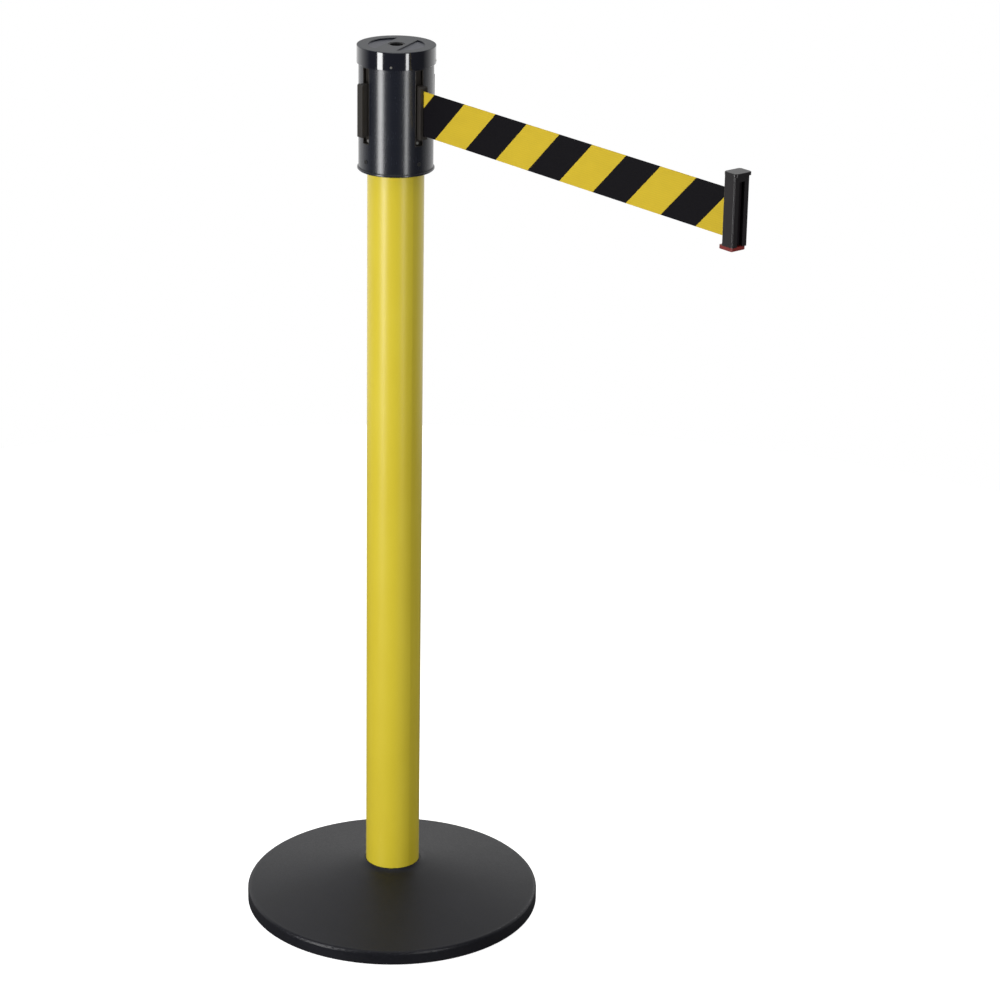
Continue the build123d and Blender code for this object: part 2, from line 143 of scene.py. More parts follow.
class Graph:
    """A material and its node tree, with one Principled shader at its end."""

    def __init__(self, name: str) -> None:
        """Starts an empty material.

        Args:
            name: the material's name.
        """
        self.material = bpy.data.materials.new(name)
        self.material.use_nodes = True
        self.tree = self.material.node_tree
        self.tree.nodes.clear()
        self.output = self.node("ShaderNodeOutputMaterial")
        self.shader = self.node("ShaderNodeBsdfPrincipled")
        self.tree.links.new(self.shader.outputs[0], self.output.inputs["Surface"])

    @staticmethod
    def find(sockets: Sequence[bpy.types.NodeSocket], key: str | int) -> bpy.types.NodeSocket:
        """The socket with that number, identifier or name."""
        if isinstance(key, int):
            return sockets[key]
        return next(s for s in sockets if key in (s.identifier, s.name))

    def node(
        self, kind: str, settings: dict[str, object] | None = None, inputs: dict[str | int, object] | None = None
    ) -> bpy.types.Node:
        """Adds a node.

        Args:
            kind: the node's type name.
            settings: its properties, set before its sockets.
            inputs: values or wires for its input sockets.

        Returns:
            The new node.
        """
        made = self.tree.nodes.new(kind)
        for name, value in (settings or {}).items():
            setattr(made, name, value)
        for key, value in (inputs or {}).items():
            socket = self.find(made.inputs, key)
            if isinstance(value, Wire):
                self.tree.links.new(value.socket, socket)
            else:
                socket.default_value = value
        return made

    def wire(
        self,
        kind: str,
        settings: dict[str, object] | None = None,
        inputs: dict[str | int, object] | None = None,
        output: str | int = 0,
    ) -> Wire:
        """Adds a node and returns one of its outputs as a wire."""
        made = self.node(kind, settings, inputs)
        return Wire(self, self.find(made.outputs, output))

    def maths(self, operation: str, first: Wire | Number, second: Wire | Number | None = None) -> Wire:
        """Adds a Math node on one or two values."""
        inputs: dict[str | int, object] = {0: first}
        if second is not None:
            inputs[1] = second
        return self.wire("ShaderNodeMath", {"operation": operation}, inputs)

    def place(self) -> Wire:
        """The point's place in the object's own coordinates."""
        return self.wire("ShaderNodeTexCoord", output="Object")

    def axes(self, place: Wire) -> tuple[Wire, Wire, Wire]:
        """The X, Y and Z of a point."""
        made = self.node("ShaderNodeSeparateXYZ", None, {0: place})
        return Wire(self, made.outputs[0]), Wire(self, made.outputs[1]), Wire(self, made.outputs[2])

    def moved(self, place: Wire, scale: tuple[float, float, float]) -> Wire:
        """A point after scaling."""
        return self.wire("ShaderNodeMapping", None, {"Vector": place, "Scale": scale})

    def noise(self, place: Wire, cell: float, detail: float = 2.0, roughness: float = 0.5) -> Wire:
        """Noise whose blobs are about one cell across, in metres."""
        return self.wire(
            "ShaderNodeTexNoise", None,
            {"Vector": place, "Scale": 1.0 / cell, "Detail": detail, "Roughness": roughness},
        )

    def blend(self, factor: Wire | float, low: Wire | Colour, high: Wire | Colour) -> Wire:
        """A colour between two colours."""
        return self.wire(
            "ShaderNodeMix", {"data_type": "RGBA"},
            {"Factor_Float": factor, "A_Color": low, "B_Color": high}, "Result_Color",
        )

    def bump(self, height: Wire, distance: float, strength: float = 1.0, after: Wire | None = None) -> Wire:
        """A normal bent by a height.

        Args:
            height: the height, from 0 to 1.
            distance: what a height of 1 measures, in metres.
            strength: how much of the bend shows.
            after: a normal that is bent already.

        Returns:
            The new normal.
        """
        inputs: dict[str | int, object] = {"Height": height, "Distance": distance, "Strength": strength}
        if after is not None:
            inputs["Normal"] = after
        return self.wire("ShaderNodeBump", None, inputs)

    def finish(self, **sockets: object) -> bpy.types.Material:
        """Sets or links the shader's sockets, whose names are written with underscores.

        Returns:
            The finished material.
        """
        for name, value in sockets.items():
            socket = self.find(self.shader.inputs, name.replace("_", " "))
            if isinstance(value, Wire):
                self.tree.links.new(value.socket, socket)
            else:
                socket.default_value = value
        return self.material


def grey(value: float) -> Colour:
    """A neutral colour."""
    return (value, value, value, 1.0)


def scaled(colour: Colour, factor: float) -> Colour:
    """A colour made lighter or darker."""
    return (colour[0] * factor, colour[1] * factor, colour[2] * factor, 1.0)


# ---------------------------------------------------------------------------
# Finishes
# ---------------------------------------------------------------------------


@dataclass(frozen=True)
class MouldedPlastic:
    """Injection-moulded plastic with flow marks, faint scratches and optional grain."""

    name: str
    colour: Colour
    roughness: float
    coat: float = 0.0
    coat_roughness: float = 0.05
    grain: float = 0.0
    grain_cell: float = 0.8 * MM
    flow: float = 0.15
    scuffs: float = 0.08

    def material(self) -> bpy.types.Material:
        """Builds the material."""
        graph = Graph(self.name)
        place = graph.place()
        clouds = graph.noise(place, 30 * MM, 3.0)
        speck = graph.noise(place, 0.6 * MM, 2.0)
        streaks = graph.noise(graph.moved(place, (1.0, 1.0, 0.06)), 0.7 * MM, 2.0)
        scuff = streaks.above(0.68, 0.1) * clouds.above(0.55, 0.3)
        tone = (clouds * 0.7 + speck * 0.3).clamped()
        colour = graph.blend(tone, scaled(self.colour, 1 - self.flow), scaled(self.colour, 1 + self.flow))
        worn = graph.blend(scuff * 0.35, colour, scaled(self.colour, 2.2))
        rough = (self.roughness + (clouds - 0.5) * 0.06 + scuff * self.scuffs).clamped()
        soft = graph.bump(graph.noise(place, 6 * MM, 2.0), 0.03 * MM, 0.6)
        normal = graph.bump(graph.noise(place, self.grain_cell, 2.0, 0.6), self.grain * MM, 1.0, soft)
        return graph.finish(
            Base_Color=worn, Roughness=rough, Normal=normal, Coat_Weight=self.coat,
            Coat_Roughness=self.coat_roughness, IOR=1.5,
        )


@dataclass(frozen=True)
class CapPlastic:
    """Cap moulding: polished on its skirt and finely grained on its top, with painted light from above: its top is
    painted lighter than its skirt and its recess floors lighter still.
    """

    name: str
    colour: Colour
    painted_lit_top_colour: Colour
    painted_lit_floor_colour: Colour
    top_height: float
    floor_height: float

    def material(self) -> bpy.types.Material:
        """Builds the material."""
        graph = Graph(self.name)
        place = graph.place()
        height = graph.axes(place)[2]
        facing = graph.axes(graph.wire("ShaderNodeNewGeometry", output="Normal"))[2]
        upward = facing.above(0.6, 0.3)
        sunk = 1.0 - height.above((self.top_height + self.floor_height) / 2, 0.5 * MM)
        clouds = graph.noise(place, 12 * MM, 3.0)
        grain = graph.noise(place, 0.7 * MM, 2.0, 0.6)
        # Painted light: the upward faces take a lighter colour than the skirt, and the recess floors a lighter one
        # again, as if lit from above.
        top = graph.blend(sunk, self.painted_lit_top_colour, self.painted_lit_floor_colour)
        mottled = graph.blend(clouds * 0.4 + grain * 0.25, scaled(grey(1.0), 0.72), grey(1.35))
        tinted = graph.wire(
            "ShaderNodeMix", {"data_type": "RGBA", "blend_type": "MULTIPLY"},
            {"Factor_Float": 1.0, "A_Color": top, "B_Color": mottled}, "Result_Color",
        )
        colour = graph.blend(upward, self.colour, tinted)
        rough = 0.10 + upward * 0.36 + (clouds - 0.5) * 0.05
        normal = graph.bump(grain * upward, 0.05 * MM, 0.8)
        return graph.finish(
            Base_Color=colour, Roughness=rough.clamped(), Normal=normal,
            Coat_Weight=((1.0 - upward) * 0.9).clamped(), Coat_Roughness=0.09, IOR=1.5,
        )


@dataclass(frozen=True)
class PowderCoat:
    """Powder-coated steel tube with orange peel and a few rubbed places."""

    name: str
    colour: Colour
    low: float
    high: float

    def material(self) -> bpy.types.Material:
        """Builds the material."""
        graph = Graph(self.name)
        place = graph.place()
        height = graph.axes(place)[2]
        clouds = graph.noise(graph.moved(place, (1.0, 1.0, 0.35)), 45 * MM, 3.0)
        peel = graph.noise(place, 1.6 * MM, 2.0, 0.55)
        fine = graph.noise(place, 0.35 * MM, 1.0)
        deep = (self.colour[0] * 0.90, self.colour[1] * 0.86, self.colour[2] * 0.8, 1.0)
        light = (self.colour[0] * 1.04, self.colour[1] * 1.05, self.colour[2] * 1.5, 1.0)
        tone = graph.blend((clouds * 0.75 + peel * 0.25).clamped(), deep, light)
        # The colour turns darker in patches over the tube's lowest 50 mm, towards the base.
        foot = (1.0 - height.above(self.low + 25 * MM, 50 * MM)) * 0.5
        darker_at_foot = graph.blend(foot * clouds, tone, scaled(self.colour, 0.72))
        rub = graph.noise(graph.moved(place, (1.0, 1.0, 0.2)), 9 * MM, 4.0).above(0.66, 0.1)
        rough = (0.36 + (clouds - 0.5) * 0.1 + rub * 0.10).clamped()
        normal = graph.bump(peel * 0.8 + fine * 0.2, 0.045 * MM, 0.9)
        return graph.finish(
            Base_Color=darker_at_foot, Roughness=rough, Normal=normal, Coat_Weight=0.10, Coat_Roughness=0.30, IOR=1.5,
        )


@dataclass(frozen=True)
class StripedWebbing:
    """Woven polyester webbing with slanting hazard stripes dyed through the weave."""

    name: str
    yellow: Colour
    black: Colour
    pitch: float
    start: float
    lean: float
    middle: float
    warp: float = 1.15 * MM
    weft: float = 0.95 * MM

    def material(self) -> bpy.types.Material:
        """Builds the material."""
        graph = Graph(self.name)
        place = graph.place()
        along, _, across = graph.axes(place)
        ragged = (graph.noise(place, 1.4 * MM, 1.0) - 0.5) * (1.1 * MM)
        slanted = along + ragged - self.start - (across - self.middle) * self.lean
        phase = (slanted * (1.0 / self.pitch)).fraction()
        edge = 0.5 * MM / self.pitch
        black_mask = phase.above(0.5, edge) * (1.0 - phase.above(1.0 - edge, edge))
        threads = (along * (math.tau / self.weft)).sine() * (across * (math.tau / self.warp)).sine()
        ribs = (across * (math.tau / (2 * self.warp))).sine()
        weave = threads * 0.35 + ribs * 0.15 + 0.5
        fluff = graph.noise(place, 0.5 * MM, 2.0, 0.7)
        clouds = graph.noise(graph.moved(place, (0.5, 1.0, 1.0)), 14 * MM, 3.0)
        shade = (weave * 0.45 + fluff * 0.25 + clouds * 0.3).clamped()
        gold = graph.blend(shade, scaled(self.yellow, 0.78), scaled(self.yellow, 1.18))
        dark = graph.blend(shade, scaled(self.black, 0.6), scaled(self.black, 1.7))
        colour = graph.blend(black_mask, gold, dark)
        normal = graph.bump(weave * 0.8 + fluff * 0.2, 0.12 * MM, 0.7)
        return graph.finish(
            Base_Color=colour, Roughness=(0.78 + (fluff - 0.5) * 0.2).clamped(), Normal=normal,
            Specular_IOR_Level=0.15,
        )


@dataclass(frozen=True)
class Thread:
    """Twisted sewing thread."""

    name: str
    colour: Colour

    def material(self) -> bpy.types.Material:
        """Builds the material."""
        graph = Graph(self.name)
        place = graph.place()
        _, _, across = graph.axes(place)
        twist = (across * (math.tau / (0.5 * MM))).sine() * 0.5 + 0.5
        fluff = graph.noise(place, 0.3 * MM, 2.0)
        shade = (twist * 0.6 + fluff * 0.4).clamped()
        colour = graph.blend(shade, scaled(self.colour, 0.7), scaled(self.colour, 1.2))
        return graph.finish(Base_Color=colour, Roughness=0.75, Normal=graph.bump(twist, 0.08 * MM, 0.6))


class Lay(Enum):
    """How the marks of a machined or drawn metal run."""

    ROUND = (1.0, 1.0, 1.0)
    ACROSS = (0.05, 0.05, 1.0)


@dataclass(frozen=True)
class PlainMetal:
    """Bare or plated metal with fine working marks."""

    name: str
    colour: Colour
    roughness: float
    lay: Lay = Lay.ROUND
    tint: Colour = (1.0, 1.0, 1.0, 1.0)

    def material(self) -> bpy.types.Material:
        """Builds the material."""
        graph = Graph(self.name)
        place = graph.place()
        marks = graph.noise(graph.moved(place, self.lay.value), 0.5 * MM, 3.0, 0.6)
        clouds = graph.noise(place, 7 * MM, 3.0)
        bloom = (clouds.above(0.5, 0.5) * 0.6 + marks * 0.3).clamped()
        other = (self.colour[0] * self.tint[0], self.colour[1] * self.tint[1], self.colour[2] * self.tint[2], 1.0)
        colour = graph.blend(bloom, self.colour, scaled(other, 0.8))
        rough = (self.roughness + (marks - 0.5) * 0.14 + (clouds - 0.5) * 0.1).clamped()
        return graph.finish(
            Base_Color=colour, Metallic=1.0, Roughness=rough, Normal=graph.bump(marks, 0.02 * MM, 0.6),
        )


@dataclass(frozen=True)
class PaintedCasting:
    """Sand-cast iron under thin black paint, with a little rust in its pits."""

    name: str
    paint: Colour
    rust: Colour

    def material(self) -> bpy.types.Material:
        """Builds the material."""
        graph = Graph(self.name)
        place = graph.place()
        sand = graph.noise(place, 1.8 * MM, 4.0, 0.65)
        lumps = graph.noise(place, 14 * MM, 3.0)
        pits = graph.noise(place, 5 * MM, 3.0, 0.6).above(0.66, 0.1)
        shade = (sand * 0.5 + lumps * 0.5).clamped()
        colour = graph.blend(shade, scaled(self.paint, 0.6), scaled(self.paint, 1.6))
        rusty = graph.blend(pits * 0.7, colour, self.rust)
        rough = (0.62 + (sand - 0.5) * 0.3 + pits * 0.2).clamped()
        normal = graph.bump(sand, 0.35 * MM, 0.8, graph.bump(lumps, 0.5 * MM, 0.6))
        return graph.finish(Base_Color=rusty, Roughness=rough, Normal=normal)


@dataclass(frozen=True)
class RibbedRubber:
    """Matt rubber with concentric tread ribs and floor dust."""

    name: str
    colour: Colour
    dust: Colour
    rib: float = 5.2 * MM

    def material(self) -> bpy.types.Material:
        """Builds the material."""
        graph = Graph(self.name)
        place = graph.place()
        x, y, _ = graph.axes(place)
        radius = graph.maths("SQRT", x * x + y * y)
        ribs = ((radius * (math.tau / self.rib)).sine() * 0.5 + 0.5).above(0.35, 0.4)
        fine = graph.noise(place, 0.7 * MM, 2.0)
        clouds = graph.noise(place, 22 * MM, 3.0)
        dirt = ((1.0 - ribs) * 0.5 + clouds.above(0.5, 0.4) * 0.3).clamped()
        clean = graph.blend(fine, scaled(self.colour, 0.7), scaled(self.colour, 1.4))
        colour = graph.blend(dirt * 0.5, clean, self.dust)
        normal = graph.bump(ribs, 0.7 * MM, 0.8, graph.bump(fine, 0.06 * MM, 0.8))
        return graph.finish(Base_Color=colour, Roughness=(0.8 + (clouds - 0.5) * 0.2).clamped(), Normal=normal)


@dataclass(frozen=True)
class GrainedCover:
    """Satin black base cover with a fine spark-eroded grain, scuffed at its rim."""

    name: str
    colour: Colour
    bloom: Colour
    rim_r: float
    rim_top: float

    def material(self) -> bpy.types.Material:
        """Builds the material."""
        graph = Graph(self.name)
        place = graph.place()
        x, y, z = graph.axes(place)
        radius = graph.maths("SQRT", x * x + y * y)
        grain = graph.noise(place, 0.9 * MM, 2.0, 0.7)
        speck = graph.noise(place, 2.6 * MM, 3.0, 0.7)
        clouds = graph.noise(place, 60 * MM, 3.0)
        tone = (speck * 0.45 + clouds * 0.35 + grain * 0.2).clamped()
        colour = graph.blend(tone.above(0.5, 0.5), self.colour, self.bloom)
        rim = radius.above(self.rim_r - 4 * MM, 4 * MM) * z.above(self.rim_top - 6 * MM, 6 * MM)
        marks = graph.noise(place, 3.0 * MM, 4.0, 0.7).above(0.62, 0.08) * rim
        worn = graph.blend(marks * 0.5, colour, scaled(self.bloom, 2.4))
        rough = (0.44 + (speck - 0.5) * 0.22 - rim * 0.10 + marks * 0.1).clamped()
        normal = graph.bump(grain * 0.7 + speck * 0.3, 0.10 * MM, 0.8)
        return graph.finish(Base_Color=worn, Roughness=rough, Normal=normal, Specular_IOR_Level=0.3)


# ---------------------------------------------------------------------------
# Modelling by hand tools
# ---------------------------------------------------------------------------


def clear_selection() -> None:
    """Leaves nothing selected."""
    bpy.ops.object.select_all(action="DESELECT")


def pick(piece: bpy.types.Object) -> None:
    """Makes one piece the only selected and active object."""
    clear_selection()
    piece.select_set(True)
    bpy.context.view_layer.objects.active = piece


def bake_place(piece: bpy.types.Object) -> None:
    """Moves a piece's place, turn and scale into its mesh."""
    pick(piece)
    bpy.ops.object.transform_apply(location=True, rotation=True, scale=True)


def add_block(name: str, low: Vector, high: Vector) -> bpy.types.Object:
    """Adds a cube primitive stretched between two corners, its place in its mesh.

    Args:
        name: the new piece's name.
        low: the lowest corner.
        high: the highest corner.

    Returns:
        The new object.
    """
    clear_selection()
    bpy.ops.mesh.primitive_cube_add(size=1.0, location=(low + high) / 2)
    piece = bpy.context.object
    piece.name = name
    piece.scale = high - low
    bake_place(piece)
    return piece


def open_mesh(piece: bpy.types.Object, mode: str = "FACE") -> None:
    """Starts editing a piece with nothing selected in it."""
    pick(piece)
    bpy.ops.object.mode_set(mode="EDIT")
    bpy.ops.mesh.select_mode(type=mode)
    bpy.ops.mesh.select_all(action="DESELECT")
    bpy.ops.object.mode_set(mode="OBJECT")


def select_faces(piece: bpy.types.Object, wanted: Callable[[bpy.types.MeshPolygon], bool]) -> None:
    """Selects the faces that pass a test and goes on editing."""
    open_mesh(piece, "FACE")
    for face in piece.data.polygons:
        face.select = wanted(face)
    bpy.ops.object.mode_set(mode="EDIT")


def select_points(piece: bpy.types.Object, wanted: Callable[[Vector], bool]) -> None:
    """Selects the vertices that pass a test, with the edges between them, and goes on editing."""
    open_mesh(piece, "VERT")
    for vertex in piece.data.vertices:
        vertex.select = wanted(vertex.co)
    bpy.ops.object.mode_set(mode="EDIT")
    bpy.ops.mesh.select_mode(type="EDGE")


def close_mesh() -> None:
    """Ends editing."""
    bpy.ops.object.mode_set(mode="OBJECT")


def apply_modifier(piece: bpy.types.Object, kind: str, **settings: object) -> None:
    """Adds a modifier with its settings and applies it."""
    pick(piece)
    modifier = piece.modifiers.new(kind.title(), kind)
    for name, value in settings.items():
        setattr(modifier, name, value)
    bpy.ops.object.modifier_apply(modifier=modifier.name)


def soften(piece: bpy.types.Object, width: float, segments: int = 2, angle: float = 40.0) -> None:
    """Bevels a piece's sharp edges and smooths its shading."""
    limit = math.radians(angle)
    apply_modifier(piece, "BEVEL", width=width, segments=segments, limit_method="ANGLE", angle_limit=limit)
    pick(piece)
    bpy.ops.object.shade_smooth_by_angle(angle=math.radians(35))


def copy_of(piece: bpy.types.Object, name: str) -> bpy.types.Object:
    """Duplicates a piece with a mesh of its own."""
    pick(piece)
    bpy.ops.object.duplicate(linked=False)
    made = bpy.context.object
    made.name = name
    return made


def turned_copy(piece: bpy.types.Object, name: str, turn: float) -> bpy.types.Object:
    """Duplicates a piece and turns the copy about the post's axis, in radians."""
    made = copy_of(piece, name)
    made.rotation_euler = (0.0, 0.0, turn)
    bake_place(made)
    return made


def outward(piece: bpy.types.Object) -> None:
    """Turns all of a closed piece's faces outwards."""
    open_mesh(piece, "FACE")
    bpy.ops.object.mode_set(mode="EDIT")
    bpy.ops.mesh.select_all(action="SELECT")
    bpy.ops.mesh.remove_doubles(threshold=0.001 * MM)
    bpy.ops.mesh.normals_make_consistent(inside=False)
    close_mesh()


def dress(thing: bpy.types.Object, material: bpy.types.Material) -> None:
    """Gives an object one material in all of its slots."""
    if not thing.material_slots:
        thing.data.materials.append(material)
    for place in thing.material_slots:
        place.material = material


def dress_nodes(names: Sequence[str], material: bpy.types.Material) -> None:
    """Gives CAD nodes one material.

    Args:
        names: the nodes' names.
        material: what they are made of.
    """
    for name in names:
        dress(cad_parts[name], material)
        log.info("node %s wears %s", name, material.name)


def settle(piece: bpy.types.Object, body: str, material: bpy.types.Material) -> None:
    """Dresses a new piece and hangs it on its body.

    Args:
        piece: the finished piece.
        body: the CAD body that it moves with.
        material: its finish.
    """
    dress(piece, material)
    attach(piece, body)
    log.info("piece %s rides on %s", piece.name, body)


# ---------------------------------------------------------------------------
# Studio
# ---------------------------------------------------------------------------


@dataclass
class Viewpoint:
    """Where the camera stands and how it looks."""

    place: Vector = field(default_factory=lambda: Vector((2.7247, -2.0879, 1.8238)))
    heading: float = math.radians(50.50)
    pitch: float = math.radians(-20.889)
    roll: float = math.radians(1.01)
    lens: float = 114.577
    sensor: float = 36.0

    def build(self) -> None:
        """Makes the camera and gives it to the scene."""
        data = bpy.data.cameras.new("studio_camera")
        data.lens = self.lens
        data.sensor_width = self.sensor
        data.dof.use_dof = False
        data.clip_end = 60.0
        camera = bpy.data.objects.new("studio_camera", data)
        bpy.context.scene.collection.objects.link(camera)
        tilt = Matrix.Rotation(math.pi / 2 + self.pitch, 4, "X")
        turn = Matrix.Rotation(self.heading, 4, "Z")
        lean = Matrix.Rotation(self.roll, 4, "Z")
        camera.matrix_world = Matrix.Translation(self.place) @ turn @ tilt @ lean
        bpy.context.scene.camera = camera


@dataclass(frozen=True)
class SoftBox:
    """A rectangular studio light that faces the post."""

    name: str
    bearing: float
    distance: float
    height: float
    width: float
    tall: float
    radiance: float
    colour: tuple[float, float, float]
    aim_height: float

    def build(self) -> None:
        """Adds the light, its power worked out from its area."""
        data = bpy.data.lights.new(self.name, "AREA")
        data.shape = "RECTANGLE"
        data.size = self.width
        data.size_y = self.tall
        data.energy = self.radiance * math.pi * self.width * self.tall
        data.color = self.colour
        light = bpy.data.objects.new(self.name, data)
        bpy.context.scene.collection.objects.link(light)
        place = Vector((math.cos(self.bearing), math.sin(self.bearing), 0)) * self.distance
        place.z = self.height
        light.location = place
        aim = Vector((0, 0, self.aim_height)) - place
        light.rotation_euler = aim.to_track_quat("-Z", "Y").to_euler()


@dataclass
class Studio:
    """Pale floor, surround and soft lights."""

    floor_r: float = 1.7
    camera_bearing: float = math.atan2(-2.0879, 2.7247)
    before: float = 0.07
    behind: float = 0.9
    facing_behind: float = -0.55
    facing_before: float = 0.1
    backdrop: float = 1.0

    def lights(self) -> list[SoftBox]:
        """The studio's lights, placed from the side the camera stands on."""
        left = self.camera_bearing - math.radians(48.0)
        right = self.camera_bearing + math.radians(31.5)
        return [
            SoftBox("key_strip", left, 2.1, 0.72, 0.58, 1.4, 12.0, (1.0, 1.0, 1.0), 0.72),
            SoftBox("fill_strip", right, 2.3, 0.72, 0.32, 1.4, 9.0, (1.0, 1.0, 1.0), 0.72),
            SoftBox("overhead", self.camera_bearing, 0.9, 2.9, 2.2, 2.2, 0.9, (1.0, 1.0, 1.0), 0.4),
        ]

    def build(self) -> None:
        """Makes the floor, the world and the lights."""
        self.build_floor()
        self.build_world()
        for light in self.lights():
            light.build()
        bpy.context.scene.view_settings.view_transform = "Standard"

    def build_floor(self) -> None:
        """Makes a round floor that looks pale to the camera and bounces little light."""
        clear_selection()
        bpy.ops.mesh.primitive_circle_add(vertices=128, radius=self.floor_r, fill_type="NGON")
        floor = bpy.context.object
        floor.name = "studio_floor"
        graph = Graph("pale_floor")
        pale = graph.finish(
            Base_Color=grey(0.85), Roughness=0.9, Emission_Color=grey(1.0), Emission_Strength=0.86,
            Specular_IOR_Level=0.1,
        )
        bounce = graph.wire("ShaderNodeBsdfDiffuse", None, {"Color": grey(0.16)})
        seen = graph.wire("ShaderNodeLightPath", output="Is Camera Ray")
        lit = Wire(graph, graph.shader.outputs[0])
        both = graph.node("ShaderNodeMixShader", None, {0: seen, 1: bounce, 2: lit})
        graph.tree.links.new(both.outputs[0], graph.output.inputs["Surface"])
        dress(floor, pale)

    def build_world(self) -> None:
        """Makes a surround that is white to look at, lights from behind and is dim in front."""
        world = bpy.data.worlds.new("surround")
        bpy.context.scene.world = world
        world.use_nodes = True
        tree = world.node_tree
        tree.nodes.clear()
        way = tree.nodes.new("ShaderNodeTexCoord")
        facing = tree.nodes.new("ShaderNodeVectorMath")
        facing.operation = "DOT_PRODUCT"
        facing.inputs[1].default_value = (math.cos(self.camera_bearing), math.sin(self.camera_bearing), 0.0)
        tree.links.new(way.outputs["Generated"], facing.inputs[0])
        ramp = tree.nodes.new("ShaderNodeMapRange")
        limits = {
            "From Min": self.facing_behind, "From Max": self.facing_before,
            "To Min": self.behind, "To Max": self.before,
        }
        for name, value in limits.items():
            ramp.inputs[name].default_value = value
        tree.links.new(facing.outputs["Value"], ramp.inputs["Value"])
        lighting = tree.nodes.new("ShaderNodeBackground")
        tree.links.new(ramp.outputs["Result"], lighting.inputs["Strength"])
        backdrop = tree.nodes.new("ShaderNodeBackground")
        backdrop.inputs["Strength"].default_value = self.backdrop
        for glow in (lighting, backdrop):
            glow.inputs["Color"].default_value = grey(1.0)
        seen = tree.nodes.new("ShaderNodeLightPath")
        mix = tree.nodes.new("ShaderNodeMixShader")
        output = tree.nodes.new("ShaderNodeOutputWorld")
        tree.links.new(seen.outputs["Is Camera Ray"], mix.inputs[0])
        tree.links.new(lighting.outputs[0], mix.inputs[1])
        tree.links.new(backdrop.outputs[0], mix.inputs[2])
        tree.links.new(mix.outputs[0], output.inputs["Surface"])


# ---------------------------------------------------------------------------
# The finishes of this post
# ---------------------------------------------------------------------------


class Palette:
    """Every material of the post, made once."""

    def __init__(self) -> None:
        """Builds the materials from their finishes."""
        cap_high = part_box("cap")[1].z
        recess_depth = 1.7 * MM
        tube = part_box("post_tube")
        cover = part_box("base_cover")
        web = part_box("belt")
        stripes = {
            "pitch": 105.0 * MM, "start": 95.6 * MM, "lean": 1.02, "middle": (web[0].z + web[1].z) / 2,
        }
        self.shell = MouldedPlastic(
            "black_shell", (0.010, 0.012, 0.020, 1.0), 0.26, coat=0.35, coat_roughness=0.20
        ).material()
        # The cap's top and recess floor colours are painted lighter than its skirt: painted light from above.
        self.cap = CapPlastic(
            "black_cap", (0.008, 0.009, 0.016, 1.0), (0.024, 0.030, 0.040, 1.0), (0.055, 0.060, 0.085, 1.0),
            cap_high, cap_high - recess_depth,
        ).material()
        self.clip = MouldedPlastic(
            "black_clip", (0.008, 0.0055, 0.0075, 1.0), 0.36, coat=0.05, coat_roughness=0.25, grain=0.02
        ).material()
        self.insert = MouldedPlastic(
            "grey_insert", (0.024, 0.020, 0.016, 1.0), 0.52, grain=0.06, grain_cell=0.9 * MM, flow=0.3
        ).material()
        self.inner = MouldedPlastic(
            "black_inner_moulding", (0.020, 0.020, 0.021, 1.0), 0.5, grain=0.05, flow=0.2
        ).material()
        self.acetal = MouldedPlastic(
            "white_acetal", (0.74, 0.74, 0.70, 1.0), 0.4, grain=0.01, flow=0.04, scuffs=0.04
        ).material()
        self.lock = MouldedPlastic(
            "red_lock_plastic", (0.24, 0.018, 0.014, 1.0), 0.36, coat=0.2, flow=0.25
        ).material()
        self.tube = PowderCoat("yellow_powder_coat", (0.86, 0.70, 0.035, 1.0), tube[0].z, tube[1].z).material()
        self.cover = GrainedCover(
            "black_base_cover", (0.004, 0.0045, 0.006, 1.0), (0.016, 0.016, 0.022, 1.0), cover[1].x, 17 * MM
        ).material()
        self.casting = PaintedCasting(
            "painted_casting", (0.022, 0.022, 0.023, 1.0), (0.12, 0.05, 0.025, 1.0)
        ).material()
        self.rubber = RibbedRubber("floor_rubber", (0.020, 0.020, 0.021, 1.0), (0.14, 0.13, 0.12, 1.0)).material()
        self.zinc = PlainMetal("zinc_plate", (0.70, 0.70, 0.67, 1.0), 0.30, tint=(1.0, 0.95, 0.82, 1.0)).material()
        self.steel = PlainMetal("turned_steel", (0.56, 0.56, 0.57, 1.0), 0.26, Lay.ACROSS).material()
        self.spring = PlainMetal(
            "blued_spring_steel", (0.22, 0.25, 0.33, 1.0), 0.32, Lay.ACROSS, (0.9, 0.7, 0.6, 1.0)
        ).material()
        self.web = StripedWebbing(
            "striped_webbing", (0.76, 0.55, 0.035, 1.0), (0.0032, 0.0026, 0.0045, 1.0), **stripes,
        ).material()
        # The hem wears a lighter copy of the webbing: painted light on the folded end beside the clip.
        self.hem = StripedWebbing(
            "hem_webbing_painted_lighter", (0.92, 0.78, 0.16, 1.0), (0.010, 0.008, 0.012, 1.0), **stripes,
        ).material()
        self.thread = Thread("sewing_thread", (0.60, 0.43, 0.05, 1.0)).material()


# ---------------------------------------------------------------------------
# The post's sub-assemblies
# ---------------------------------------------------------------------------


@dataclass
class Base:
    """Weighted foot: cover, casting, floor ring and the bolt that holds the tube."""

    palette: Palette

    def build(self) -> None:
        """Dresses the foot."""
        dress_nodes(["base_cover"], self.palette.cover)
        dress_nodes(["base_weight"], self.palette.casting)
        dress_nodes(["floor_ring"], self.palette.rubber)
        dress_nodes(["base_bolt", "base_washer"], self.palette.zinc)


@dataclass
class Post:
    """Powder-coated tube with its end plugs."""

    palette: Palette

    def build(self) -> None:
        """Dresses the tube and the plugs."""
        dress_nodes(["post_tube"], self.palette.tube)
        dress_nodes(["bottom_plug", "top_plug"], self.palette.inner)


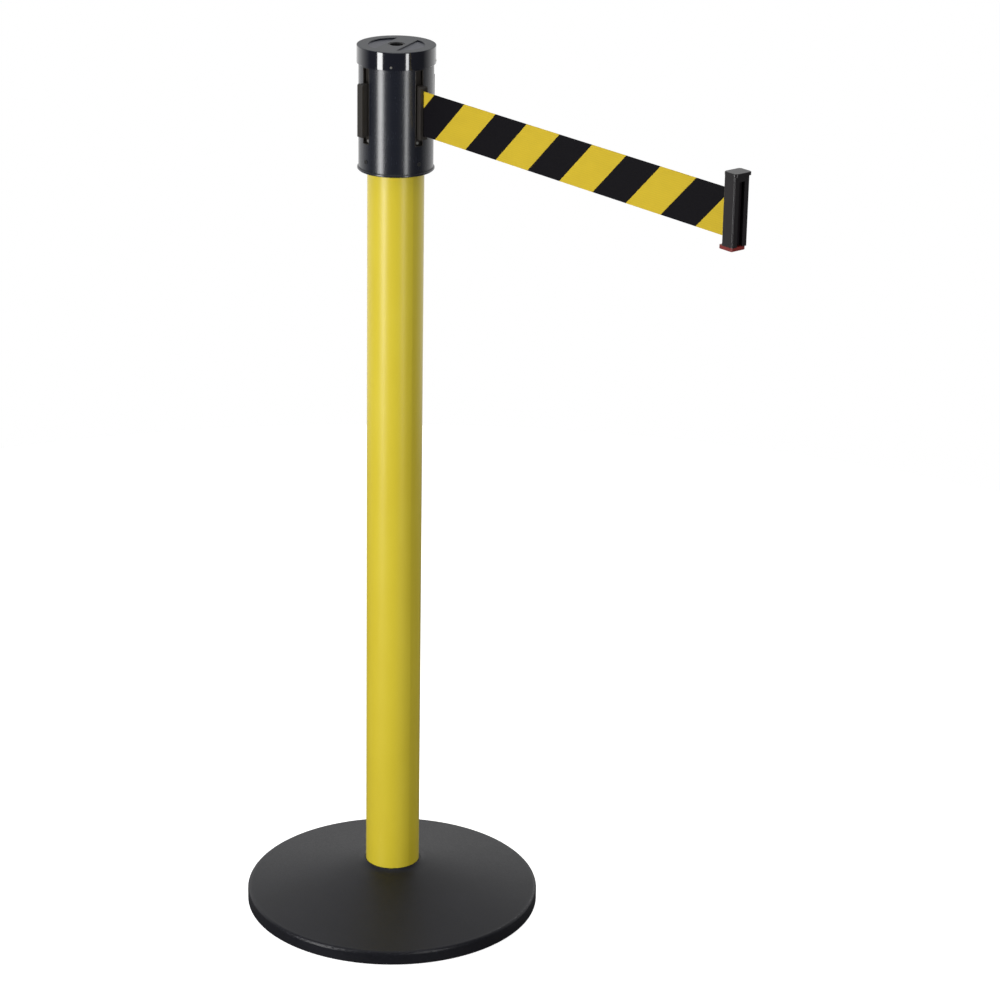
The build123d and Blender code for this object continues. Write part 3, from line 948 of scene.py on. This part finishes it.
@dataclass
class Head:
    """Housing, collar, rails and the liners in the housing's four slots."""

    palette: Palette
    slot_count: int = 4
    slot_low: float = 939.8 * MM
    slot_high: float = 1025.2 * MM
    slot_half: float = 5.5 * MM
    liner_wall: float = 0.7 * MM
    liner_proud: float = 0.45 * MM
    liner_depth: float = 3.6 * MM

    def build(self) -> None:
        """Dresses the head's nodes and adds the liners."""
        dress_nodes(["head_housing", "head_collar"], self.palette.shell)
        rails = ["belt_exit_rail", "receiver_rail_right", "receiver_rail_rear", "receiver_rail_left"]
        dress_nodes(rails, self.palette.insert)
        dress_nodes(["housing_screws"], self.palette.inner)
        self.build_liners()

    def build_liners(self) -> None:
        """Frames each slot with a thin liner that stands just proud of the housing."""
        wall_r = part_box("head_housing")[1].x
        room = 0.05 * MM
        outer = math.sqrt(wall_r**2 - self.slot_half**2) + self.liner_proud
        low = Vector((outer - self.liner_depth, room - self.slot_half, self.slot_low + room))
        high = Vector((outer, self.slot_half - room, self.slot_high - room))
        liner = add_block("slot_liner_front", low, high)
        select_faces(liner, lambda face: abs(face.normal.x) > 0.9)
        bpy.ops.mesh.inset(thickness=self.liner_wall, depth=0.0, use_individual=True)
        bpy.ops.mesh.delete(type="FACE")
        bpy.ops.mesh.select_mode(type="EDGE")
        bpy.ops.mesh.select_non_manifold(extend=False)
        bpy.ops.mesh.bridge_edge_loops()
        close_mesh()
        outward(liner)
        soften(liner, 0.18 * MM)
        settle(liner, "post", self.palette.insert)
        for number, side in enumerate(("right", "rear", "left"), start=1):
            made = turned_copy(liner, f"slot_liner_{side}", number * math.tau / self.slot_count)
            settle(made, "post", self.palette.insert)


@dataclass
class Cassette:
    """Spool, spring, spindle and the plates that hold them."""

    palette: Palette

    def build(self) -> None:
        """Dresses the parts inside the head."""
        dress_nodes(["cassette_base", "cassette_top", "spring_case", "spring_case_lid"], self.palette.inner)
        dress_nodes(["spool", "spool_bush_lower", "spool_bush_upper", "spring_arbor"], self.palette.acetal)
        dress_nodes(["cassette_pillars", "guide_pins", "spindle"], self.palette.steel)
        dress_nodes(["head_screws", "pillar_screws"], self.palette.zinc)
        dress_nodes(["power_spring", "spindle_circlip"], self.palette.spring)
        dress_nodes(["belt_roll"], self.palette.web)


@dataclass
class Cap:
    """Screwed cap with the sign socket in its bar."""

    palette: Palette

    def build(self) -> None:
        """Dresses the cap."""
        dress_nodes(["cap"], self.palette.cap)
        dress_nodes(["sign_socket"], self.palette.inner)
        dress_nodes(["cap_screws"], self.palette.zinc)


@dataclass
class Belt:
    """The webbing from the roll to the clip, with its hem and stitches."""

    palette: Palette
    thick: float = 0.6 * MM
    hem_length: float = 5.4 * MM
    hem_thick: float = 0.45 * MM
    stitch_length: float = 2.0 * MM
    stitch_wide: float = 0.42 * MM
    stitch_pitch: float = 3.05 * MM
    bend_steps: int = 5

    def build(self) -> None:
        """Makes the strap, its hem and the hem's stitches."""
        self.build_strap()
        self.build_hem()

    def inner_route(self) -> list[Vector]:
        """The belt's way from the exit rail back round the guide pin to the roll, in plan.

        Returns:
            Points from the exit rail's face inwards.
        """
        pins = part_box("guide_pins")
        pin_r = (pins[1].x - pins[0].x) / 2
        centre = Vector(((pins[0].x + pins[1].x) / 2, pins[1].y - pin_r))
        roll_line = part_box("belt_roll")[1].x + 0.35 * MM
        bend_r = centre.y
        cross = math.asin((bend_r + roll_line) / centre.length)
        heading = math.atan2(-centre.y, -centre.x) % math.tau - cross
        route = [Vector((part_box("belt_exit_rail")[1].x, 0.0))]
        for step in range(self.bend_steps + 1):
            now = math.pi + (heading - math.pi) * step / self.bend_steps
            side = Vector((math.sin(now), -math.cos(now)))
            route.append(centre - side * bend_r)
        side = Vector((math.sin(heading), -math.cos(heading)))
        route.append(side * roll_line)
        return route

    def build_strap(self) -> None:
        """Makes the strap: one flat free stretch, and its hidden ends extruded from it."""
        low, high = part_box("belt")
        route = self.inner_route()
        clip_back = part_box("clip_body")[0].x
        start, end = route[0].x, clip_back
        clear_selection()
        bpy.ops.mesh.primitive_plane_add(size=1.0)
        strap = bpy.context.object
        strap.name = "belt_strap"
        strap.rotation_euler = (math.pi / 2, 0.0, 0.0)
        strap.scale = (end - start, high.z - low.z, 1.0)
        strap.location = ((start + end) / 2, 0.0, (low.z + high.z) / 2)
        bake_place(strap)
        near = 0.01 * MM
        here = route[0]
        length = end - start
        select_points(strap, lambda point: abs(point.x - start) < near)
        for there in route[1:]:
            step = there - here
            bpy.ops.mesh.extrude_region_move(TRANSFORM_OT_translate={"value": (step.x, step.y, 0.0)})
            length += step.length
            here = there
        close_mesh()
        tail = 4.0 * MM
        select_points(strap, lambda point: abs(point.x - end) < near)
        bpy.ops.mesh.extrude_region_move(TRANSFORM_OT_translate={"value": (tail, 0.0, 0.0)})
        close_mesh()
        apply_modifier(strap, "SOLIDIFY", thickness=self.thick, offset=0.0)
        outward(strap)
        dress(strap, self.palette.web)
        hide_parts("belt")
        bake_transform(strap)
        log.info("piece %s stretches between post and belt_end", strap.name)

    def build_hem(self) -> None:
        """Makes the belt's folded end, sewn down just behind the clip."""
        low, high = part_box("belt")
        clip_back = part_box("clip_body")[0].x
        face = -self.thick / 2
        corner = Vector((clip_back - self.hem_length, face - self.hem_thick, low.z + 0.1 * MM))
        other = Vector((clip_back + 2.0 * MM, face + 0.1 * MM, high.z - 0.1 * MM))
        hem = add_block("belt_hem", corner, other)
        soften(hem, 0.2 * MM)
        # The hem's lighter webbing is painted light.
        settle(hem, "belt_end", self.palette.hem)
        middle = clip_back - self.hem_length * 0.45
        reach = self.stitch_length / 2
        seat = corner.y
        stitch = add_block(
            "hem_stitches",
            Vector((middle - self.stitch_wide / 2, seat - 0.16 * MM, low.z + 2 * MM - reach)),
            Vector((middle + self.stitch_wide / 2, seat + 0.1 * MM, low.z + 2 * MM + reach)),
        )
        soften(stitch, 0.1 * MM, 2)
        count = int((high.z - low.z - 4 * MM) / self.stitch_pitch) + 1
        apply_modifier(
            stitch, "ARRAY", count=count, use_relative_offset=False, use_constant_offset=True,
            constant_offset_displace=(0.0, 0.0, self.stitch_pitch),
        )
        settle(stitch, "belt_end", self.palette.thread)


@dataclass
class BeltEnd:
    """Clip that drops over another post's rail, with its red lock."""

    palette: Palette
    nib: Vector = field(default_factory=lambda: Vector((1.4, 2.4, 5.0)) * MM)
    grip_count: int = 3

    def build(self) -> None:
        """Dresses the clip and adds its small mouldings."""
        dress_nodes(["clip_body", "clip_cap"], self.palette.clip)
        dress_nodes(["belt_pin"], self.palette.steel)
        dress_nodes(["lock_slider"], self.palette.lock)
        self.build_guards()
        self.build_grips()

    def build_guards(self) -> None:
        """Adds the two lips that keep the belt off the clip's back edge."""
        low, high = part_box("clip_body")
        middle = (low.z + high.z) / 2 - 3 * MM
        for side in (-1, 1):
            inner = 1.6 * MM
            y = side * (inner + self.nib.y / 2)
            corner = Vector((low.x - self.nib.x, y - self.nib.y / 2, middle - self.nib.z / 2))
            other = Vector((low.x + 0.4 * MM, y + self.nib.y / 2, middle + self.nib.z / 2))
            lip = add_block("clip_lip_left" if side < 0 else "clip_lip_right", corner, other)
            select_faces(lip, lambda face: face.normal.x < -0.9)
            bpy.ops.transform.resize(value=(1.0, 0.55, 0.5))
            close_mesh()
            soften(lip, 0.3 * MM, 3)
            settle(lip, "belt_end", self.palette.clip)

    def build_grips(self) -> None:
        """Adds finger ribs across the lock's tail."""
        low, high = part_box("lock_slider")
        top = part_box("clip_body")[0].z - 0.1 * MM
        half = high.y - 2.4 * MM
        first = low.x + 1.3 * MM
        rib = add_block(
            "lock_grips", Vector((first, -half, top - 0.1 * MM)), Vector((first + 0.8 * MM, half, top + 0.35 * MM))
        )
        soften(rib, 0.15 * MM, 2)
        apply_modifier(
            rib, "ARRAY", count=self.grip_count, use_relative_offset=False, use_constant_offset=True,
            constant_offset_displace=(1.5 * MM, 0.0, 0.0),
        )
        settle(rib, "belt_lock", self.palette.lock)


def main() -> None:
    """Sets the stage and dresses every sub-assembly."""
    Viewpoint().build()
    Studio().build()
    palette = Palette()
    for assembly in (Base, Post, Head, Cassette, Cap, Belt, BeltEnd):
        assembly(palette).build()
        log.info("%s done", assembly.__name__)


if __name__ == "__main__":
    main()
